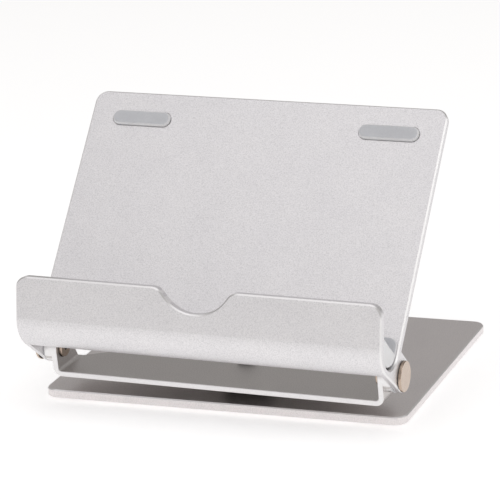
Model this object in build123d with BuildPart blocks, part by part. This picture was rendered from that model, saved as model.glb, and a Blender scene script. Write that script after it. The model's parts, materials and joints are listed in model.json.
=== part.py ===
from build123d import *
import os
from math import acos, atan2, cos, radians, sin, sqrt

# ---------------------------------------------------------------------------
# Aluminium tablet stand: a base plate, a swivelling yoke on it, and a cradle
# that tilts in the yoke on a friction pivot at each end.
#
# Frame: millimetres, +Z up, -Y towards the user.  The origin is on the table,
# under the middle of the base plate.  The yoke and the cradle are drawn square
# to the base and turned by swivel_rest about the swivel when they are written.
# ---------------------------------------------------------------------------

# --- driving dimensions ----------------------------------------------------
base_width = 168.6
base_depth = 136.0
base_thickness = 4.0
base_corner = 6.0
base_chamfer = 0.5

foot_diameter = 14.0
foot_proud = 1.2              # how far a foot stands below the base plate
foot_recess = 0.6
foot_inset = 13.0             # from the base plate's edges to a foot's centre

swivel_y = -32.0
swivel_rest = -2.1            # degrees, the pose that the stand rests in

yoke_sheet = 2.4
yoke_width = 156.2            # over the outsides of the ears
yoke_gap = 6.1                # from the base plate's top to the yoke's floor
yoke_front_y = -69.3
yoke_rear_y = -46.0           # where the floor begins to taper behind the ears
yoke_nose_radius = 31.0
yoke_bend_inside = 1.5
yoke_chamfer = 0.25
ear_radius = 7.3

hinge_y = -63.8
hinge_rise = 18.7             # hinge axis above the base plate's top
recline = 41.0                # degrees, the back plate's lean from upright

cradle_width = 169.6
cradle_chamfer = 0.65
plate_wall = 4.0
plate_front = 11.4            # hinge axis to the back plate's front face
plate_top = 122.75            # hinge axis to the back plate's top edge
plate_corner = 5.5
trough_radius = 9.7           # inside
trough_outer_radius = 14.5
trough_rise = 4.4             # the inside arc's centre, along the back plate
ledge_angle = 34.2            # degrees, between the ledge and the back plate
ledge_wall = 4.5
ledge_rise = 20.8             # from the inside arc's centre to the ledge's top
ledge_corner = 5.5
notch_radius = 18.0
notch_depth = 10.7
notch_shoulder = 6.0
lug_thickness = 2.8
lug_radius = 7.5
lug_reach = 2.0               # the lug's round is centred behind the hinge axis
lug_lift = 1.2                # and above it, along the back plate

sleeve_diameter = 8.0         # the pivot barrel's sleeve
running_clearance = 0.05      # radial, between the sleeve and the lug
face_clearance = 0.05         # on each side of the lug
head_diameter = 13.7
head_thickness = 1.2
head_washer = 0.3
lug_washer = 0.5
ear_washer = 0.3
screw_diameter = 5.0
screw_head_diameter = 9.5
screw_head_height = 0.8
socket_across_flats = 3.0
socket_depth = 0.6
spring_thickness = 0.3
spring_height = 0.5

hub_radius = 11.0
swivel_washer = 0.6
bush_wall = 1.5
shoulder_diameter = 6.0
swivel_head_diameter = 8.5
swivel_head_height = 3.0
swivel_socket = 4.0
hub_screw_circle = 15.0
hub_screw_diameter = 3.0
hub_screw_head = 5.6
hub_screw_length = 7.5
hub_screw_count = 3

top_pad_length = 28.3
top_pad_width = 7.1
top_pad_proud = 1.6
top_pad_recess = 0.8
top_pad_gap = 0.3             # around a pad, in its recess
top_pad_rounding = 1.1
top_pad_x = 59.5
top_pad_rise = 109.4
seat_pad_inner_x = 26.0
seat_pad_outer_x = 84.0
seat_rise = 4.7               # the seat that the tablet stands on
seat_flange = 1.5
seat_flange_rise = 12.4
seat_flange_corner = 4.2
seat_fit = 0.12               # between a seat pad and the trough
seat_foot_gap = 0.9           # hollow left under a seat pad

# --- places worked out from them -------------------------------------------
base_bottom = foot_proud
base_top = base_bottom + base_thickness
yoke_bottom = base_top + yoke_gap
yoke_top = yoke_bottom + yoke_sheet
hinge_z = base_top + hinge_rise
base_half_width = base_width / 2
half_width = cradle_width / 2
ear_outside = yoke_width / 2
ear_inside = ear_outside - yoke_sheet
lug_inside = half_width - lug_thickness

lean = radians(recline)
splay = radians(ledge_angle)
plate_rear = plate_front - plate_wall
out_of_plate = Vector(0, -cos(lean), sin(lean))
up_plate = Vector(0, sin(lean), cos(lean))
hinge_point = Vector(0, hinge_y, hinge_z)

# In the cradle's profile plane, local X runs out of the back plate's front
# face and local Y runs up the plate, both from the hinge axis.
profile_plane = Plane(origin=hinge_point, x_dir=out_of_plate, z_dir=(-1, 0, 0))
# On the back plate's front face, local X is the stand's X and local Y is up.
plate_face = Plane(
    origin=hinge_point + out_of_plate * plate_front,
    x_dir=(1, 0, 0),
    z_dir=out_of_plate,
)


def on_circle(centre, radius, angle):
    """A point on a circle, in the profile plane."""
    return (centre[0] + radius * cos(angle), centre[1] + radius * sin(angle))


def along_ledge(out, up):
    """A point out from the trough's inside centre and up the ledge from it."""
    return (
        trough_centre[0] + out * cos(splay) + up * sin(splay),
        trough_centre[1] - out * sin(splay) + up * cos(splay),
    )


# The outside arc is tangent to the back plate's rear face and the ledge's front.
trough_centre = (plate_front + trough_radius, trough_rise)
outer_offset = trough_outer_radius - trough_radius
outer_lift = ((outer_offset - plate_wall) * cos(splay) + outer_offset - ledge_wall) / sin(splay)
outer_centre = (plate_rear + trough_outer_radius, trough_rise + outer_lift)
inner_tangent = on_circle(trough_centre, trough_radius, -splay)
outer_tangent = on_circle(outer_centre, trough_outer_radius, -splay)
ledge_inner_top = along_ledge(trough_radius, ledge_rise)
ledge_outer_top = along_ledge(trough_radius + ledge_wall, ledge_rise)
arc_middle = (-splay - radians(180)) / 2

out_of_ledge = out_of_plate * cos(splay) - up_plate * sin(splay)
ledge_face = Plane(
    origin=hinge_point + out_of_plate * ledge_outer_top[0] + up_plate * ledge_outer_top[1],
    x_dir=(1, 0, 0),
    z_dir=out_of_ledge,
)


def hinge_plane(side, x):
    """A plane across the hinge axis at distance x, facing away from the middle."""
    return Plane(origin=(side * x, hinge_y, hinge_z), x_dir=(0, side, 0), z_dir=(side, 0, 0))


# --- base plate and feet ----------------------------------------------------
foot_places = {
    "foot_front_left": (foot_inset - base_half_width, foot_inset - base_depth / 2),
    "foot_front_right": (base_half_width - foot_inset, foot_inset - base_depth / 2),
    "foot_rear_left": (foot_inset - base_half_width, base_depth / 2 - foot_inset),
    "foot_rear_right": (base_half_width - foot_inset, base_depth / 2 - foot_inset),
}

with BuildPart() as base_plate:
    with BuildSketch(Plane.XY.offset(base_bottom)):
        RectangleRounded(base_width, base_depth, base_corner)
    extrude(amount=base_thickness)
    chamfer(base_plate.faces().sort_by(Axis.Z)[-1].edges(), base_chamfer)
    chamfer(base_plate.faces().sort_by(Axis.Z)[0].edges(), base_chamfer)
    with BuildSketch(Plane.XY.offset(base_bottom)):
        with Locations(*foot_places.values()):
            Circle(foot_diameter / 2)
    extrude(amount=foot_recess, mode=Mode.SUBTRACT)
    with Locations((0, swivel_y, base_top)):
        Hole(screw_diameter / 2)
    with Locations(Plane(origin=(0, swivel_y, base_bottom), x_dir=(1, 0, 0), z_dir=(0, 0, -1))):
        with PolarLocations(hub_screw_circle / 2, hub_screw_count, start_angle=180):
            CounterSinkHole(hub_screw_diameter / 2, hub_screw_head / 2)

feet = {}
for foot_name, (foot_x, foot_y) in foot_places.items():
    with BuildPart() as foot:
        with BuildSketch(Plane((foot_x, foot_y, 0))):
            Circle(foot_diameter / 2)
        extrude(amount=foot_proud + foot_recess)
        fillet(foot.edges().sort_by(Axis.Z)[0], foot_proud / 3)
    feet[foot_name] = foot

# --- swivel -----------------------------------------------------------------
hub_top = yoke_bottom - swivel_washer

with BuildPart() as swivel_hub:
    with BuildSketch(Plane((0, swivel_y, base_top))):
        Circle(hub_radius)
        Circle(screw_diameter / 2, mode=Mode.SUBTRACT)
        with PolarLocations(hub_screw_circle / 2, hub_screw_count, start_angle=180):
            Circle(hub_screw_diameter / 2, mode=Mode.SUBTRACT)
    extrude(amount=hub_top - base_top)

hub_screws = {}
for index in range(hub_screw_count):
    hub_screw_angle = radians(180 + index * 360 / hub_screw_count)
    hub_screw_x = hub_screw_circle / 2 * cos(hub_screw_angle)
    hub_screw_y = swivel_y + hub_screw_circle / 2 * sin(hub_screw_angle)
    head_depth = (hub_screw_head - hub_screw_diameter) / 2
    hub_screw_foot = (hub_screw_x, hub_screw_y, base_bottom)
    with BuildPart() as hub_screw:
        with BuildSketch(Plane(origin=hub_screw_foot, x_dir=(1, 0, 0), z_dir=(0, -1, 0))):
            with BuildLine():
                Polyline(
                    (0, 0),
                    (hub_screw_head / 2, 0),
                    (hub_screw_diameter / 2, head_depth),
                    (hub_screw_diameter / 2, hub_screw_length),
                    (0, hub_screw_length),
                    close=True,
                )
            make_face()
        revolve(axis=Axis((hub_screw_x, hub_screw_y, 0), (0, 0, 1)))
        with BuildSketch(Plane(hub_screw_foot)):
            RegularPolygon(hub_screw_diameter / 3, 6)
        extrude(amount=head_depth, mode=Mode.SUBTRACT)
    hub_screws[f"hub_screw_{index + 1}"] = hub_screw

with BuildPart() as swivel_friction_washer:
    with BuildSketch(Plane((0, swivel_y, hub_top))):
        Circle(hub_radius)
        Circle(shoulder_diameter / 2 + running_clearance, mode=Mode.SUBTRACT)
    extrude(amount=swivel_washer - face_clearance)

bush_radius = shoulder_diameter / 2 + bush_wall

with BuildPart() as swivel_bush:
    with BuildSketch(Plane((0, swivel_y, yoke_bottom))):
        Circle(bush_radius)
        Circle(shoulder_diameter / 2 + running_clearance, mode=Mode.SUBTRACT)
    extrude(amount=yoke_sheet)

swivel_spring_bottom = yoke_top + face_clearance
swivel_head_bottom = swivel_spring_bottom + spring_height

with BuildPart() as swivel_disc_spring:
    with BuildSketch(
        Plane(origin=(0, swivel_y, swivel_spring_bottom), x_dir=(1, 0, 0), z_dir=(0, -1, 0))
    ):
        with BuildLine():
            Polyline(
                (shoulder_diameter / 2 + running_clearance, spring_height - spring_thickness),
                (swivel_head_diameter / 2, 0),
                (swivel_head_diameter / 2, spring_thickness),
                (shoulder_diameter / 2 + running_clearance, spring_height),
                close=True,
            )
        make_face()
    revolve(axis=Axis((0, swivel_y, 0), (0, 0, 1)))

with BuildPart() as swivel_screw:
    with BuildSketch(Plane((0, swivel_y, swivel_head_bottom))):
        Circle(swivel_head_diameter / 2)
    extrude(amount=swivel_head_height)
    fillet(swivel_screw.edges().sort_by(Axis.Z)[-1], 0.5)
    with BuildSketch(Plane((0, swivel_y, swivel_head_bottom + swivel_head_height))):
        RegularPolygon(swivel_socket / 2, 6, major_radius=False)
    extrude(amount=-socket_depth, mode=Mode.SUBTRACT)
    with BuildSketch(Plane((0, swivel_y, hub_top))):
        Circle(shoulder_diameter / 2)
    extrude(amount=swivel_head_bottom - hub_top)
    with BuildSketch(Plane((0, swivel_y, base_bottom + foot_recess))):
        Circle(screw_diameter / 2)
    extrude(amount=hub_top - base_bottom - foot_recess)

# --- yoke -------------------------------------------------------------------
yoke_height = hinge_z + ear_radius - yoke_bottom
nose_y = swivel_y + yoke_nose_radius
bend_line_x = ear_outside - yoke_bend_inside - yoke_sheet

with BuildPart() as yoke:
    with BuildSketch(Plane(origin=(0, nose_y, yoke_bottom), x_dir=(1, 0, 0), z_dir=(0, -1, 0))) as channel:
        Rectangle(yoke_width, yoke_height, align=(Align.CENTER, Align.MIN))
        with Locations((0, yoke_sheet)):
            Rectangle(
                2 * ear_inside, yoke_height, align=(Align.CENTER, Align.MIN), mode=Mode.SUBTRACT
            )
        fillet(channel.vertices().group_by(Axis.Y)[1], yoke_bend_inside)
        fillet(channel.vertices().group_by(Axis.Y)[0], yoke_bend_inside + yoke_sheet)
    extrude(amount=nose_y - hinge_y + ear_radius)
    with BuildSketch(Plane.XY.offset(yoke_bottom)):
        with BuildLine():
            Line((-bend_line_x, yoke_rear_y), (bend_line_x, yoke_rear_y))
            CenterArc((0, swivel_y), yoke_nose_radius, 0, 180)
        make_hull()
        with Locations((0, yoke_rear_y)):
            Rectangle(yoke_width, yoke_height + ear_radius, align=(Align.CENTER, Align.MAX))
    extrude(amount=yoke_height, mode=Mode.INTERSECT)
    with BuildSketch(Plane.YZ):
        with Locations((hinge_y, hinge_z)):
            Circle(ear_radius)
        with BuildLine():
            Line((yoke_front_y, yoke_bottom), (yoke_rear_y, yoke_bottom))
        make_hull()
        with Locations((yoke_front_y, yoke_bottom)):
            Rectangle(nose_y - yoke_front_y, yoke_sheet, align=(Align.MIN, Align.MIN))
    extrude(amount=half_width, both=True, mode=Mode.INTERSECT)
    floor_edges = yoke.edges().filter_by(Axis.X).filter_by(lambda edge: edge.length > half_width)
    chamfer(floor_edges.group_by(Axis.Y)[0], yoke_chamfer)
    with BuildSketch(Plane((0, swivel_y, yoke_bottom))):
        Circle(bush_radius)
    extrude(amount=yoke_sheet, mode=Mode.SUBTRACT)
    with BuildSketch(Plane(origin=(0, hinge_y, hinge_z), x_dir=(0, 1, 0), z_dir=(1, 0, 0))):
        Circle(sleeve_diameter / 2)
    extrude(amount=half_width, both=True, mode=Mode.SUBTRACT)

# --- tilt pivots, one at each end of the cradle ------------------------------
head_inside = half_width + face_clearance + head_washer
lug_washer_inside = lug_inside - face_clearance - lug_washer
ear_washer_inside = ear_inside - ear_washer
spring_inside = ear_washer_inside - spring_height
screw_reach = ear_outside - spring_inside + lug_washer


def ring(plane, outer_radius_of_ring, inner_radius_of_ring, thickness):
    """A flat washer or a spacer standing on a plane."""
    with BuildPart() as washer:
        with BuildSketch(plane):
            Circle(outer_radius_of_ring)
            Circle(inner_radius_of_ring, mode=Mode.SUBTRACT)
        extrude(amount=thickness)
    return washer


def pivot_barrel(side):
    """The round head outside the lug, with its sleeve through lug, spacer and ear."""
    with BuildPart() as barrel:
        with BuildSketch(hinge_plane(side, ear_inside)):
            Circle(sleeve_diameter / 2)
        extrude(amount=head_inside - ear_inside)
        with BuildSketch(hinge_plane(side, head_inside)):
            Circle(head_diameter / 2)
        extrude(amount=head_thickness)
        rim = barrel.edges().filter_by(GeomType.CIRCLE).sort_by(Axis.X)[-1 if side > 0 else 0]
        fillet(rim, head_thickness / 3)
        with BuildSketch(hinge_plane(side, ear_inside)):
            Circle(screw_diameter / 2)
        extrude(amount=screw_reach, mode=Mode.SUBTRACT)
    return barrel


def pivot_screw(side):
    """The socket screw inside the ear that pulls the barrel's stack together."""
    with BuildPart() as screw:
        with BuildSketch(hinge_plane(side, spring_inside)):
            Circle(screw_head_diameter / 2)
        extrude(amount=-screw_head_height)
        rim = screw.edges().filter_by(GeomType.CIRCLE).sort_by(Axis.X)[0 if side > 0 else -1]
        fillet(rim, screw_head_height / 3)
        with BuildSketch(hinge_plane(side, spring_inside - screw_head_height)):
            RegularPolygon(socket_across_flats / 2, 6, major_radius=False)
        extrude(amount=socket_depth, mode=Mode.SUBTRACT)
        with BuildSketch(hinge_plane(side, spring_inside)):
            Circle(screw_diameter / 2)
        extrude(amount=screw_reach)
    return screw


def disc_spring(side):
    """A coned spring washer under the pivot screw's head."""
    outside = screw_head_diameter / 2
    inside = screw_diameter / 2 + running_clearance
    with BuildPart() as spring:
        with BuildSketch(
            Plane(origin=(side * spring_inside, hinge_y, hinge_z), x_dir=(0, 1, 0), z_dir=(0, 0, -side))
        ):
            with BuildLine():
                Polyline(
                    (inside, 0),
                    (outside, spring_height - spring_thickness),
                    (outside, spring_height),
                    (inside, spring_thickness),
                    close=True,
                )
            make_face()
        revolve(axis=Axis((0, hinge_y, hinge_z), (1, 0, 0)))
    return spring


pivots = {}
for side, side_name in ((-1, "left"), (1, "right")):
    pivots[f"pivot_barrel_{side_name}"] = pivot_barrel(side)
    pivots[f"head_washer_{side_name}"] = ring(
        hinge_plane(side, half_width + face_clearance),
        head_diameter / 2 - head_washer,
        sleeve_diameter / 2 + running_clearance,
        head_washer,
    )
    pivots[f"lug_washer_{side_name}"] = ring(
        hinge_plane(side, lug_washer_inside),
        ear_radius,
        sleeve_diameter / 2 + running_clearance,
        lug_washer,
    )
    pivots[f"pivot_spacer_{side_name}"] = ring(
        hinge_plane(side, ear_outside),
        ear_radius,
        sleeve_diameter / 2 + running_clearance,
        lug_washer_inside - ear_outside,
    )
    pivots[f"ear_washer_{side_name}"] = ring(
        hinge_plane(side, ear_washer_inside),
        screw_head_diameter / 2 + ear_washer,
        screw_diameter / 2 + running_clearance,
        ear_washer,
    )
    pivots[f"pivot_disc_spring_{side_name}"] = disc_spring(side)
    pivots[f"pivot_screw_{side_name}"] = pivot_screw(side)

# --- cradle -----------------------------------------------------------------
# The lug's underside is the common tangent of the lug's round and the trough.
lug_centre = (-lug_reach, lug_lift)
centre_distance = sqrt((outer_centre[0] + lug_reach) ** 2 + (outer_centre[1] - lug_lift) ** 2)
under_angle = (
    atan2(outer_centre[1] - lug_lift, outer_centre[0] + lug_reach)
    - radians(180)
    + acos((trough_outer_radius - lug_radius) / centre_distance)
)
lug_root = plate_rear + plate_wall / 2

with BuildPart() as cradle:
    with BuildSketch(profile_plane):
        with BuildLine():
            Line((plate_rear, plate_top), (plate_front, plate_top))
            Line((plate_front, plate_top), (plate_front, trough_rise))
            ThreePointArc(
                (plate_front, trough_rise),
                on_circle(trough_centre, trough_radius, arc_middle),
                inner_tangent,
            )
            Line(inner_tangent, ledge_inner_top)
            Line(ledge_inner_top, ledge_outer_top)
            Line(ledge_outer_top, outer_tangent)
            ThreePointArc(
                outer_tangent,
                on_circle(outer_centre, trough_outer_radius, arc_middle),
                (plate_rear, outer_centre[1]),
            )
            Line((plate_rear, outer_centre[1]), (plate_rear, plate_top))
        make_face()
    extrude(amount=half_width, both=True)
    for lug_outside in (-half_width, lug_inside):
        with BuildSketch(profile_plane.offset(lug_outside)):
            with BuildLine():
                Polyline(
                    (-lug_reach, lug_lift + lug_radius),
                    (lug_root, lug_lift + lug_radius),
                    (lug_root, trough_rise),
                    trough_centre,
                    on_circle(outer_centre, trough_outer_radius, under_angle),
                    on_circle(lug_centre, lug_radius, under_angle),
                    lug_centre,
                    close=True,
                )
            make_face()
            with Locations(lug_centre):
                Circle(lug_radius)
            with Locations(trough_centre):
                Circle(trough_radius, mode=Mode.SUBTRACT)
        extrude(amount=lug_thickness)
    plate_corners = cradle.edges().filter_by(Axis(hinge_point, out_of_plate))
    fillet(plate_corners.sort_by(Axis(hinge_point, up_plate))[-2:], plate_corner)
    fillet(cradle.edges().filter_by(Axis(hinge_point, out_of_ledge)), ledge_corner)
    with BuildSketch(ledge_face) as notch:
        notch_half = sqrt(notch_radius**2 - (notch_radius - notch_depth) ** 2)
        with BuildLine():
            ThreePointArc((-notch_half, 0), (0, -notch_depth), (notch_half, 0))
            Polyline(
                (notch_half, 0),
                (notch_radius * 2, 0),
                (notch_radius * 2, notch_shoulder),
                (-notch_radius * 2, notch_shoulder),
                (-notch_radius * 2, 0),
                (-notch_half, 0),
            )
        make_face()
        shoulders = notch.vertices().filter_by_position(Axis.Y, -0.1, 0.1).sort_by(Axis.X)[1:3]
        fillet(shoulders, notch_shoulder)
    extrude(amount=ledge_wall * 2, both=True, mode=Mode.SUBTRACT)
    # From one end the chamfer runs on round the corners and the notch to the other end.
    end_edges = cradle.faces().sort_by(Axis.X)[-1].outer_wire().edges()
    chamfer(end_edges.filter_by(lambda edge: edge.length > ledge_wall), cradle_chamfer)
    with BuildSketch(Plane(origin=(0, hinge_y, hinge_z), x_dir=(0, 1, 0), z_dir=(1, 0, 0))):
        Circle(sleeve_diameter / 2 + running_clearance)
    extrude(amount=half_width, both=True, mode=Mode.SUBTRACT)
    with BuildSketch(plate_face):
        with Locations((-top_pad_x, top_pad_rise), (top_pad_x, top_pad_rise)):
            SlotOverall(top_pad_length + 2 * top_pad_gap, top_pad_width + 2 * top_pad_gap)
    extrude(amount=-top_pad_recess, mode=Mode.SUBTRACT)

# --- silicone pads ------------------------------------------------------------
pads = {}
for side, side_name in ((-1, "left"), (1, "right")):
    with BuildPart() as top_pad:
        with BuildSketch(plate_face.offset(-top_pad_recess)):
            with Locations((side * top_pad_x, top_pad_rise)):
                SlotOverall(top_pad_length, top_pad_width)
        extrude(amount=top_pad_recess + top_pad_proud)
        fillet(top_pad.faces().sort_by(Axis(hinge_point, out_of_plate))[-1].edges(), top_pad_rounding)
    pads[f"top_pad_{side_name}"] = top_pad

    seat_radius = trough_radius - seat_fit
    seat_back = plate_front + seat_fit
    seat_step = plate_front + seat_flange
    seat_tangent = on_circle(trough_centre, seat_radius, -splay)
    seat_front = along_ledge(
        seat_radius, (seat_rise - trough_rise + seat_radius * sin(splay)) / cos(splay)
    )
    seat_start = seat_pad_inner_x if side < 0 else -seat_pad_outer_x
    with BuildPart() as seat_pad:
        with BuildSketch(profile_plane.offset(seat_start)):
            with BuildLine():
                Polyline(
                    (seat_back, trough_rise),
                    (seat_back, seat_flange_rise),
                    (seat_step, seat_flange_rise),
                    (seat_step, seat_rise),
                    seat_front,
                    seat_tangent,
                )
                ThreePointArc(
                    seat_tangent,
                    on_circle(trough_centre, seat_radius - seat_foot_gap, arc_middle),
                    (seat_back, trough_rise),
                )
            make_face()
        extrude(amount=seat_pad_outer_x - seat_pad_inner_x)
        flange_corners = seat_pad.edges().filter_by(Axis(hinge_point, out_of_plate))
        fillet(flange_corners.sort_by(Axis(hinge_point, up_plate))[-2:], seat_flange_corner)
    pads[f"seat_pad_{side_name}"] = seat_pad

# --- naming and writing -------------------------------------------------------
on_base = {
    "base_plate": base_plate,
    **feet,
    "swivel_hub": swivel_hub,
    **hub_screws,
    "swivel_friction_washer": swivel_friction_washer,
    "swivel_disc_spring": swivel_disc_spring,
    "swivel_screw": swivel_screw,
}
on_swivel = {
    "swivel_bush": swivel_bush,
    "yoke": yoke,
    **pivots,
    "cradle": cradle,
    **pads,
}
swivel_axis = Axis((0, swivel_y, 0), (0, 0, 1))
os.makedirs("parts", exist_ok=True)
for name, piece in on_base.items():
    piece.part.label = name
    export_step(piece.part, f"parts/{name}.step")
for name, piece in on_swivel.items():
    turned = piece.part.rotate(swivel_axis, swivel_rest)
    turned.label = name
    export_step(turned, f"parts/{name}.step")
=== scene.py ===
import json
from math import cos, radians, sin

import bpy
from mathutils import Matrix, Vector


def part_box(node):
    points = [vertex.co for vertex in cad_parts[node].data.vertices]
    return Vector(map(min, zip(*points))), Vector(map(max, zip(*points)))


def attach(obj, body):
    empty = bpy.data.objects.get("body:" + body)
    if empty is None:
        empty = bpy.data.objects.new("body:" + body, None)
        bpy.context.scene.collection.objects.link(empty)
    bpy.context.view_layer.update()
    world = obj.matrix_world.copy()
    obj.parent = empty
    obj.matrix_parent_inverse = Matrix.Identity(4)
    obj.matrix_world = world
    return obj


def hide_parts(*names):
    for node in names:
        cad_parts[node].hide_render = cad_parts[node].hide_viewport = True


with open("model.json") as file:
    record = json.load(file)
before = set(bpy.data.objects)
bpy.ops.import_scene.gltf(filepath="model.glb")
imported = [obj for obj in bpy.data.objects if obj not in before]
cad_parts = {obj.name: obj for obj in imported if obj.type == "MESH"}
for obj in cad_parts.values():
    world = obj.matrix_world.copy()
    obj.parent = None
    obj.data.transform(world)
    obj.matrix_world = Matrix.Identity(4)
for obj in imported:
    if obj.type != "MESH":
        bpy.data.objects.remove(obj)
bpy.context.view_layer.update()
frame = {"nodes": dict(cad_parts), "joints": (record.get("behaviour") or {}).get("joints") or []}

MM = 0.001
UP = Vector((0, 0, 1))

# --- camera ------------------------------------------------------------------
# Azimuth 0 is in front of the stand, and grows towards its right.
CAMERA_AZIMUTH = radians(20.02)
CAMERA_ELEVATION = radians(16.65)
CAMERA_ROLL = radians(-2.31)
CAMERA_LENS = 211.0
SENSOR_WIDTH = 36.0
# Where the middle of the base plate's top lies from the camera: right, up and ahead of it.
CAMERA_OFFSET = Vector((0.00944, -0.04808, 1.34892))

# --- directions of the cradle's faces at rest --------------------------------
JOINTS = {joint["name"]: joint for joint in frame["joints"]}
HINGE_AXIS = Vector(JOINTS["tilt"]["axis"]).normalized()
ACROSS = HINGE_AXIS.cross(UP)
RECLINE = radians(41.0)
LEDGE_LEAN = radians(6.8)
FROM_PLATE = ACROSS * cos(RECLINE) + UP * sin(RECLINE)
FROM_LEDGE = ACROSS * cos(LEDGE_LEAN) + UP * sin(LEDGE_LEAN)

# A chamfer lies at 45 degrees to the faces beside it, and a cut edge faces its direction.
CHAMFER_SLOPE = cos(radians(45))
CUT_SLOPE = 1.0
SLOPE_BAND = 0.09
# The cradle's long edges are all higher than this, and its pivot lugs are lower.
LONG_EDGES_FROM = 0.050

# --- surface grain -----------------------------------------------------------
# A noise texture's values lie mostly between these two.
NOISE_LOW = 0.3
NOISE_HIGH = 0.7
WHITE = (1, 1, 1)

BLAST_GRAIN = 1900.0
BLAST_CLOUD = 45.0
BLAST_PITS = 5200.0
BLAST_DEPTH = 0.12 * MM
PIT_STRENGTH = 0.08
PIT_DEPTH = 0.04 * MM
SPARKLE = 1.07
# Colours of the machined chamfers: partly the bare metal's lighter tone, partly a painted highlight.
CUT_HIGHLIGHT_DARK = (0.81, 0.80, 0.80)
CUT_HIGHLIGHT_LIGHT = (0.86, 0.85, 0.85)
CUT_ROUGH = 0.35
CUT_SMOOTHER = 8

LATHE_RINGS = 420.0
TARNISH_SCALE = 320.0
# A near-black disc painted over a screw's socket: painted shade in the recess.
SOCKET_SHADE_RADIUS = 1.75 * MM
SOCKET_SHADE_DARK = (0.02, 0.018, 0.016)
SOCKET_SHADE_LIGHT = (0.035, 0.03, 0.028)

SILICONE_GRAIN = 1300.0
SILICONE_PATCH = 120.0
# The pad's flat face ends, and the painted highlight on its edge is full, at these slopes to the
# face's direction.
PAD_FLAT_SLOPE = 0.98
PAD_EDGE_SLOPE = 0.72

PATCH_PER_GRAIN = 1 / 14


# --- node helpers ------------------------------------------------------------
def new_material(name):
    material = bpy.data.materials.new(name)
    material.use_nodes = True
    material.node_tree.nodes.clear()
    return material


def shader(tree, **values):
    """A Principled shader on the material's output, with its plain values set."""
    node = tree.nodes.new("ShaderNodeBsdfPrincipled")
    output = tree.nodes.new("ShaderNodeOutputMaterial")
    tree.links.new(node.outputs["BSDF"], output.inputs["Surface"])
    for key, value in values.items():
        node.inputs[key.replace("_", " ")].default_value = value
    return node


def object_coords(tree):
    return tree.nodes.new("ShaderNodeTexCoord").outputs["Object"]


def noise(tree, coords, scale, detail=2.0, roughness=0.5):
    node = tree.nodes.new("ShaderNodeTexNoise")
    node.inputs["Scale"].default_value = scale
    node.inputs["Detail"].default_value = detail
    node.inputs["Roughness"].default_value = roughness
    tree.links.new(coords, node.inputs["Vector"])
    return node.outputs["Fac"]


def ramp(tree, factor, stops):
    """Colours along a factor, from (position, colour) stops."""
    node = tree.nodes.new("ShaderNodeValToRGB")
    tree.links.new(factor, node.inputs["Fac"])
    elements = node.color_ramp.elements
    while len(elements) < len(stops):
        elements.new(0.5)
    for element, (position, colour) in zip(elements, stops):
        element.position = position
        element.color = (*colour, 1.0)
    return node.outputs["Color"]


def mottle(tree, factor, dark, light):
    """Two colours over a noise's usual range."""
    return ramp(tree, factor, [(NOISE_LOW, dark), (NOISE_HIGH, light)])


def spread(tree, value, low, high, out_low, out_high):
    """value, taken from low..high to out_low..out_high."""
    node = tree.nodes.new("ShaderNodeMapRange")
    tree.links.new(value, node.inputs["Value"])
    node.inputs["From Min"].default_value = low
    node.inputs["From Max"].default_value = high
    node.inputs["To Min"].default_value = out_low
    node.inputs["To Max"].default_value = out_high
    return node.outputs["Result"]


def bump(tree, height, strength, distance, under=None):
    """A bump of a strength that is a number or a socket, over another bump if one is given."""
    node = tree.nodes.new("ShaderNodeBump")
    if isinstance(strength, float):
        node.inputs["Strength"].default_value = strength
    else:
        tree.links.new(strength, node.inputs["Strength"])
    node.inputs["Distance"].default_value = distance
    tree.links.new(height, node.inputs["Height"])
    if under is not None:
        tree.links.new(under, node.inputs["Normal"])
    return node.outputs["Normal"]


def product(tree, first, second):
    """Two colours multiplied."""
    node = tree.nodes.new("ShaderNodeMix")
    node.data_type = "RGBA"
    node.blend_type = "MULTIPLY"
    node.inputs["Factor"].default_value = 1.0
    tree.links.new(first, node.inputs["A"])
    tree.links.new(second, node.inputs["B"])
    return node.outputs["Result"]


def either(tree, kind, factor, first, second):
    """first where factor is 0 and second where it is 1. kind is RGBA or FLOAT."""
    node = tree.nodes.new("ShaderNodeMix")
    node.data_type = kind
    tree.links.new(factor, node.inputs["Factor"])
    tree.links.new(first, node.inputs["A"])
    tree.links.new(second, node.inputs["B"])
    return node.outputs["Result"]


def scalar(tree, operation, first, second):
    """A Math node between a socket and a socket or a number."""
    node = tree.nodes.new("ShaderNodeMath")
    node.operation = operation
    for socket, value in zip(node.inputs, (first, second)):
        if isinstance(value, (int, float)):
            socket.default_value = value
        else:
            tree.links.new(value, socket)
    return node.outputs["Value"]


def own_normal(tree, output):
    """A face's direction in the piece's own space, so that it keeps when the piece moves."""
    geometry = tree.nodes.new("ShaderNodeNewGeometry")
    local = tree.nodes.new("ShaderNodeVectorTransform")
    local.vector_type = "NORMAL"
    local.convert_from = "WORLD"
    local.convert_to = "OBJECT"
    tree.links.new(geometry.outputs[output], local.inputs["Vector"])
    return local.outputs["Vector"]


def slope_to(tree, normal, direction):
    """The cosine between a normal and a fixed direction."""
    node = tree.nodes.new("ShaderNodeVectorMath")
    node.operation = "DOT_PRODUCT"
    node.inputs[1].default_value = direction
    tree.links.new(normal, node.inputs[0])
    return node.outputs["Value"]


# Picks the chamfers and cut faces that blasted_aluminium paints brighter, partly as a painted
# highlight.
def cut_highlight_mask(tree, facings):
    """1 on the faces at a given slope to one of the given directions, above a given height."""
    normal = own_normal(tree, "True Normal")
    height = tree.nodes.new("ShaderNodeSeparateXYZ")
    tree.links.new(object_coords(tree), height.inputs["Vector"])
    masks = None
    for direction, lowest, slope in facings:
        lean = scalar(tree, "ABSOLUTE", slope_to(tree, normal, direction), 0.0)
        off = scalar(tree, "ABSOLUTE", scalar(tree, "SUBTRACT", lean, slope), 0.0)
        near = scalar(tree, "LESS_THAN", off, SLOPE_BAND)
        high = scalar(tree, "GREATER_THAN", height.outputs["Z"], lowest)
        mask = scalar(tree, "MULTIPLY", near, high)
        masks = mask if masks is None else scalar(tree, "MAXIMUM", masks, mask)
    return masks


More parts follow.
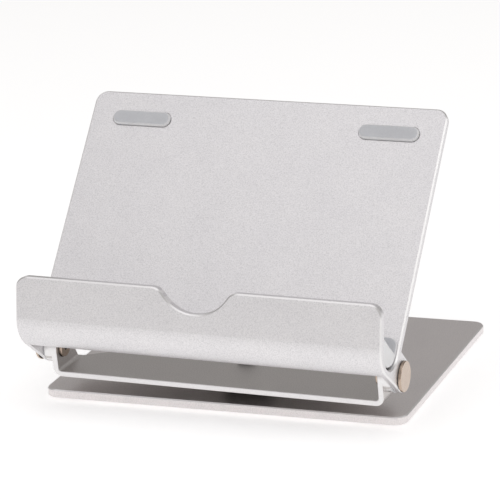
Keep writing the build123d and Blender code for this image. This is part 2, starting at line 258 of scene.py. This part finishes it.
# --- materials ---------------------------------------------------------------
def blasted_aluminium(name, light, dark, rough, relief, facings):
    """Bead-blasted and anodised: a fine sparkling grain over faint cloudy patches.

    The chamfers and edges in facings were machined after blasting: smoother, and painted brighter,
    partly the bare metal's lighter tone and partly a painted highlight."""
    material = new_material(name)
    tree = material.node_tree
    surface = shader(tree, Metallic=0.92, Specular_IOR_Level=0.5)
    coords = object_coords(tree)
    grain = noise(tree, coords, BLAST_GRAIN, 2.0, 0.6)
    cloud = noise(tree, coords, BLAST_CLOUD, 3.0, 0.55)
    pits = noise(tree, coords, BLAST_PITS, 1.0, 0.5)
    sparkle = [min(1, channel * SPARKLE) for channel in light]
    grain_colour = ramp(tree, grain, [(0.3, dark), (0.52, light), (0.72, sparkle)])
    blasted = product(tree, grain_colour, mottle(tree, cloud, (0.965, 0.965, 0.97), WHITE))
    cut = cut_highlight_mask(tree, facings)
    # Painted highlight: the chamfers and cut faces get a brighter colour than the blasted faces,
    # partly their own bare-metal tone.
    cut_highlight_colour = mottle(tree, grain, CUT_HIGHLIGHT_DARK, CUT_HIGHLIGHT_LIGHT)
    tree.links.new(either(tree, "RGBA", cut, blasted, cut_highlight_colour), surface.inputs["Base Color"])
    blasted_rough = spread(tree, grain, 0.25, 0.75, rough + 0.06, rough - 0.06)
    cut_rough = spread(tree, grain, 0.25, 0.75, CUT_ROUGH + 0.03, CUT_ROUGH - 0.03)
    tree.links.new(either(tree, "FLOAT", cut, blasted_rough, cut_rough), surface.inputs["Roughness"])
    strength = spread(tree, cut, 0.0, 1.0, relief, relief / CUT_SMOOTHER)
    coarse = bump(tree, grain, strength, BLAST_DEPTH)
    tree.links.new(bump(tree, pits, PIT_STRENGTH, PIT_DEPTH, coarse), surface.inputs["Normal"])
    return material


def turned_steel(name, light, dark, rough, centre, axis, socket):
    """Turned on a lathe: fine rings about the part's own axis, and painted shade in a screw's
    socket.
    """
    material = new_material(name)
    tree = material.node_tree
    surface = shader(tree, Metallic=1.0)
    coords = object_coords(tree)
    place = tree.nodes.new("ShaderNodeMapping")
    place.vector_type = "TEXTURE"
    place.inputs["Location"].default_value = centre
    place.inputs["Rotation"].default_value = axis.to_track_quat("X", "Z").to_euler()
    tree.links.new(coords, place.inputs["Vector"])
    on_axis = place.outputs["Vector"]
    rings = tree.nodes.new("ShaderNodeTexWave")
    rings.wave_type = "RINGS"
    rings.rings_direction = "X"
    rings.inputs["Scale"].default_value = LATHE_RINGS
    rings.inputs["Distortion"].default_value = 1.2
    rings.inputs["Detail"].default_value = 2.0
    tree.links.new(on_axis, rings.inputs["Vector"])
    tarnish = noise(tree, coords, TARNISH_SCALE, 3.0, 0.6)
    ring_colour = ramp(tree, rings.outputs["Fac"], [(0.0, dark), (1.0, light)])
    steel = product(tree, ring_colour, mottle(tree, tarnish, (0.96, 0.95, 0.94), WHITE))
    across = tree.nodes.new("ShaderNodeVectorMath")
    across.operation = "MULTIPLY"
    across.inputs[1].default_value = (0, 1, 1)
    tree.links.new(on_axis, across.inputs[0])
    radius = tree.nodes.new("ShaderNodeVectorMath")
    radius.operation = "LENGTH"
    tree.links.new(across.outputs["Vector"], radius.inputs[0])
    # Painted shade: within the socket's radius the steel is painted near-black.
    socket_shade_mask = scalar(tree, "LESS_THAN", radius.outputs["Value"], socket)
    socket_shade_colour = mottle(tree, tarnish, SOCKET_SHADE_DARK, SOCKET_SHADE_LIGHT)
    tree.links.new(either(tree, "RGBA", socket_shade_mask, steel, socket_shade_colour), surface.inputs["Base Color"])
    roughness = spread(tree, tarnish, NOISE_LOW, NOISE_HIGH, rough + 0.05, rough - 0.04)
    tree.links.new(roughness, surface.inputs["Roughness"])
    tree.links.new(bump(tree, rings.outputs["Fac"], 0.05, 0.02 * MM), surface.inputs["Normal"])
    return material


def translucent_silicone(name, flat, edge_highlight, rough, facing):
    """Clear-grey silicone: the flat face is darker, and the narrow rounded edges are painted
    lighter, a painted highlight.

    flat and the edge colours are each a darker and a lighter colour."""
    material = new_material(name)
    tree = material.node_tree
    surface = shader(
        tree,
        Subsurface_Weight=0.35,
        Subsurface_Scale=2 * MM,
        Subsurface_Radius=(1.0, 1.05, 1.1),
        Sheen_Weight=0.1,
        Coat_Weight=0.12,
        Coat_Roughness=0.25,
    )
    coords = object_coords(tree)
    grain = noise(tree, coords, SILICONE_GRAIN, 3.0, 0.55)
    patch = noise(tree, coords, SILICONE_PATCH, 2.0, 0.5)
    # Painted highlight: where the normal turns away from the pad's face, the colour goes over to the
    # lighter edge colours.
    slope = slope_to(tree, own_normal(tree, "Normal"), facing)
    edge = spread(tree, slope, PAD_FLAT_SLOPE, PAD_EDGE_SLOPE, 0.0, 1.0)
    body = either(tree, "RGBA", edge, mottle(tree, grain, *flat), mottle(tree, grain, *edge_highlight))
    colour = product(tree, body, mottle(tree, patch, (0.95, 0.95, 0.955), WHITE))
    tree.links.new(colour, surface.inputs["Base Color"])
    roughness = spread(tree, grain, NOISE_LOW, NOISE_HIGH, rough + 0.07, rough - 0.05)
    tree.links.new(roughness, surface.inputs["Roughness"])
    tree.links.new(bump(tree, grain, 0.2, 0.04 * MM), surface.inputs["Normal"])
    return material


def fine_grain(name, light, dark, rough, scale, depth, **values):
    """A matte surface with a fine grain, used for rubber, nylon and blackened steel."""
    material = new_material(name)
    tree = material.node_tree
    surface = shader(tree, **values)
    coords = object_coords(tree)
    grain = noise(tree, coords, scale, 3.0, 0.55)
    patch = noise(tree, coords, scale * PATCH_PER_GRAIN, 2.0, 0.5)
    patch_colour = mottle(tree, patch, (0.94, 0.94, 0.94), WHITE)
    colour = product(tree, mottle(tree, grain, dark, light), patch_colour)
    tree.links.new(colour, surface.inputs["Base Color"])
    roughness = spread(tree, grain, NOISE_LOW, NOISE_HIGH, rough + 0.07, rough - 0.05)
    tree.links.new(roughness, surface.inputs["Roughness"])
    tree.links.new(bump(tree, grain, 0.25, depth), surface.inputs["Normal"])
    return material


ALUMINIUM = blasted_aluminium(
    "blasted_aluminium",
    light=(0.78, 0.767, 0.775),
    dark=(0.667, 0.657, 0.666),
    rough=0.42,
    relief=0.17,
    facings=[
        (HINGE_AXIS, 0.0, CHAMFER_SLOPE),
        (FROM_PLATE, LONG_EDGES_FROM, CHAMFER_SLOPE),
        (FROM_LEDGE, LONG_EDGES_FROM, CHAMFER_SLOPE),
    ],
)
# The yoke and pivot spacers: the same blasted aluminium made darker and warmer, painted shade for
# where they sit under the cradle.
YOKE_ALUMINIUM_PAINTED_SHADE = blasted_aluminium(
    "blasted_yoke_aluminium_painted_shade",
    light=(0.66, 0.635, 0.62),
    dark=(0.57, 0.545, 0.535),
    rough=0.42,
    relief=0.10,
    facings=[(ACROSS, 0.0, CHAMFER_SLOPE), (ACROSS, 0.0, CUT_SLOPE)],
)
BASE_ALUMINIUM = blasted_aluminium(
    "blasted_base_aluminium",
    light=(0.85, 0.81, 0.805),
    dark=(0.76, 0.725, 0.72),
    rough=0.36,
    relief=0.08,
    facings=[(UP, 0.0, CHAMFER_SLOPE)],
)
BLACK_OXIDE = fine_grain(
    "black_oxide",
    light=(0.022, 0.021, 0.02),
    dark=(0.012, 0.012, 0.012),
    rough=0.5,
    scale=2400.0,
    depth=0.03 * MM,
    Specular_IOR_Level=0.2,
)
NYLON = fine_grain(
    "nylon",
    light=(0.055, 0.042, 0.034),
    dark=(0.035, 0.028, 0.024),
    rough=0.5,
    scale=1500.0,
    depth=0.03 * MM,
)
NATURAL_NYLON = fine_grain(
    "natural_nylon",
    light=(0.60, 0.60, 0.61),
    dark=(0.54, 0.54, 0.55),
    rough=0.5,
    scale=1500.0,
    depth=0.03 * MM,
)
RUBBER = fine_grain(
    "rubber",
    light=(0.035, 0.035, 0.036),
    dark=(0.02, 0.02, 0.021),
    rough=0.75,
    scale=1800.0,
    depth=0.06 * MM,
)
# The pads' edges take the lighter colours: a painted highlight.
SILICONE = translucent_silicone(
    "silicone",
    flat=((0.60, 0.61, 0.635), (0.635, 0.645, 0.67)),
    edge_highlight=((0.78, 0.785, 0.79), (0.83, 0.83, 0.84)),
    rough=0.46,
    facing=FROM_PLATE,
)


def turned(node, axis):
    """Turned steel about a node's own middle."""
    low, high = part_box(node)
    return turned_steel(
        f"turned_{node}",
        light=(0.57, 0.465, 0.385),
        dark=(0.53, 0.425, 0.345),
        rough=0.16,
        centre=(low + high) / 2,
        axis=axis,
        socket=SOCKET_SHADE_RADIUS if "screw" in node else 0.0,
    )


def finish_of(node):
    """The material of a CAD node, or None for a node that a moulded piece replaces."""
    if node == "cradle":
        return ALUMINIUM
    # The yoke and pivot spacers take the darker copy: painted shade.
    if node == "yoke" or node.startswith("pivot_spacer"):
        return YOKE_ALUMINIUM_PAINTED_SHADE
    if node == "base_plate":
        return BASE_ALUMINIUM
    if node.startswith("foot_"):
        return RUBBER
    if node.startswith(("pivot_barrel", "pivot_disc_spring", "pivot_screw")):
        return turned(node, HINGE_AXIS)
    if node.startswith("hub_screw") or node == "swivel_disc_spring":
        return turned(node, UP)
    if node in ("swivel_screw", "swivel_hub"):
        return BLACK_OXIDE
    if node.startswith("lug_washer"):
        return NATURAL_NYLON
    if "washer" in node or node == "swivel_bush":
        return NYLON
    return None


for node in frame["nodes"]:
    finish = finish_of(node)
    if finish is not None:
        for slot in frame["nodes"][node].material_slots:
            slot.material = finish


# --- silicone pads -----------------------------------------------------------
TOP_PAD_VOXEL = 0.35 * MM
TOP_PAD_SMOOTHING = 4
SEAT_PAD_VOXEL = 0.45 * MM
SEAT_PAD_SMOOTHING = 3


def moulded(node, voxel, smoothing):
    """A moulded piece on a CAD pad's own volume, its edges softened as a mould leaves them."""
    piece = bpy.data.objects.new(f"{node}_moulded", frame["nodes"][node].data.copy())
    bpy.context.scene.collection.objects.link(piece)
    remesh = piece.modifiers.new("volume", "REMESH")
    remesh.mode = "VOXEL"
    remesh.voxel_size = voxel
    remesh.use_smooth_shade = True
    smooth = piece.modifiers.new("soft_edges", "CORRECTIVE_SMOOTH")
    smooth.use_only_smooth = True
    smooth.iterations = smoothing
    bpy.context.view_layer.update()
    evaluated = piece.evaluated_get(bpy.context.evaluated_depsgraph_get())
    final = bpy.data.meshes.new_from_object(evaluated)
    piece.modifiers.clear()
    piece.data = final
    final.materials.clear()
    final.materials.append(SILICONE)
    for polygon in final.polygons:
        polygon.use_smooth = True
    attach(piece, "cradle_assembly")
    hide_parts(node)


for side in ("left", "right"):
    moulded(f"top_pad_{side}", TOP_PAD_VOXEL, TOP_PAD_SMOOTHING)
    moulded(f"seat_pad_{side}", SEAT_PAD_VOXEL, SEAT_PAD_SMOOTHING)


# --- floor and light ---------------------------------------------------------
FLOOR_HALF = 6.0
# Just under the feet, so that their faces and the floor are not in one plane.
FLOOR_Z = -0.1 * MM
floor_mesh = bpy.data.meshes.new("floor")
floor_mesh.from_pydata(
    [
        (-FLOOR_HALF, -FLOOR_HALF, FLOOR_Z),
        (FLOOR_HALF, -FLOOR_HALF, FLOOR_Z),
        (FLOOR_HALF, FLOOR_HALF, FLOOR_Z),
        (-FLOOR_HALF, FLOOR_HALF, FLOOR_Z),
    ],
    [],
    [(0, 1, 2, 3)],
)
floor = bpy.data.objects.new("floor", floor_mesh)
bpy.context.scene.collection.objects.link(floor)
floor_material = new_material("floor")
shader(
    floor_material.node_tree,
    Base_Color=(0.93, 0.93, 0.93, 1),
    Roughness=0.9,
    Specular_IOR_Level=0.0,
    Emission_Color=(1, 1, 1, 1),
    Emission_Strength=0.44,
)
floor_mesh.materials.append(floor_material)

world = bpy.data.worlds.new("studio")
world.use_nodes = True
background = world.node_tree.nodes["Background"]
background.inputs["Color"].default_value = (1.0, 0.975, 0.955, 1)
background.inputs["Strength"].default_value = 0.39
bpy.context.scene.world = world

LIT_POINT = Vector((0, 0, 0.05))


def softbox(name, azimuth, elevation, distance, size, power, colour=WHITE):
    """An area light that looks at the stand. Its angles are counted as the camera's are."""
    light = bpy.data.lights.new(name, "AREA")
    light.shape = "RECTANGLE"
    light.size, light.size_y = size
    light.energy = power
    light.color = colour
    lamp = bpy.data.objects.new(name, light)
    bpy.context.scene.collection.objects.link(lamp)
    out = Vector(
        (sin(azimuth) * cos(elevation), -cos(azimuth) * cos(elevation), sin(elevation))
    )
    lamp.location = LIT_POINT + out * distance
    lamp.rotation_euler = out.to_track_quat("Z", "Y").to_euler()


softbox(
    "key",
    azimuth=radians(-22),
    elevation=radians(74),
    distance=1.6,
    size=(1.8, 2.1),
    power=8.7,
    colour=(0.985, 0.98, 1.0),
)
softbox(
    "front",
    azimuth=radians(8),
    elevation=radians(20),
    distance=2.2,
    size=(2.4, 0.9),
    power=3.5,
    colour=(1.0, 0.95, 0.93),
)
softbox(
    "right",
    azimuth=radians(95),
    elevation=radians(28),
    distance=1.8,
    size=(1.0, 1.0),
    power=3.7,
)

# --- camera placement --------------------------------------------------------
camera_data = bpy.data.cameras.new("camera")
camera_data.sensor_width = SENSOR_WIDTH
camera_data.lens = CAMERA_LENS
camera = bpy.data.objects.new("camera", camera_data)
bpy.context.scene.collection.objects.link(camera)
level_right = Vector((cos(CAMERA_AZIMUTH), sin(CAMERA_AZIMUTH), 0))
forward = Vector(
    (
        -sin(CAMERA_AZIMUTH) * cos(CAMERA_ELEVATION),
        cos(CAMERA_AZIMUTH) * cos(CAMERA_ELEVATION),
        -sin(CAMERA_ELEVATION),
    )
)
level_up = level_right.cross(forward)
right = level_right * cos(CAMERA_ROLL) + level_up * sin(CAMERA_ROLL)
up = level_up * cos(CAMERA_ROLL) - level_right * sin(CAMERA_ROLL)
base_low, base_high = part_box("base_plate")
base_top = Vector(((base_low.x + base_high.x) / 2, (base_low.y + base_high.y) / 2, base_high.z))
position = base_top - right * CAMERA_OFFSET.x - up * CAMERA_OFFSET.y - forward * CAMERA_OFFSET.z
camera.matrix_world = Matrix(
    (
        (right.x, up.x, -forward.x, position.x),
        (right.y, up.y, -forward.y, position.y),
        (right.z, up.z, -forward.z, position.z),
        (0, 0, 0, 1),
    )
)
bpy.context.scene.camera = camera
bpy.context.scene.view_settings.view_transform = "Standard"
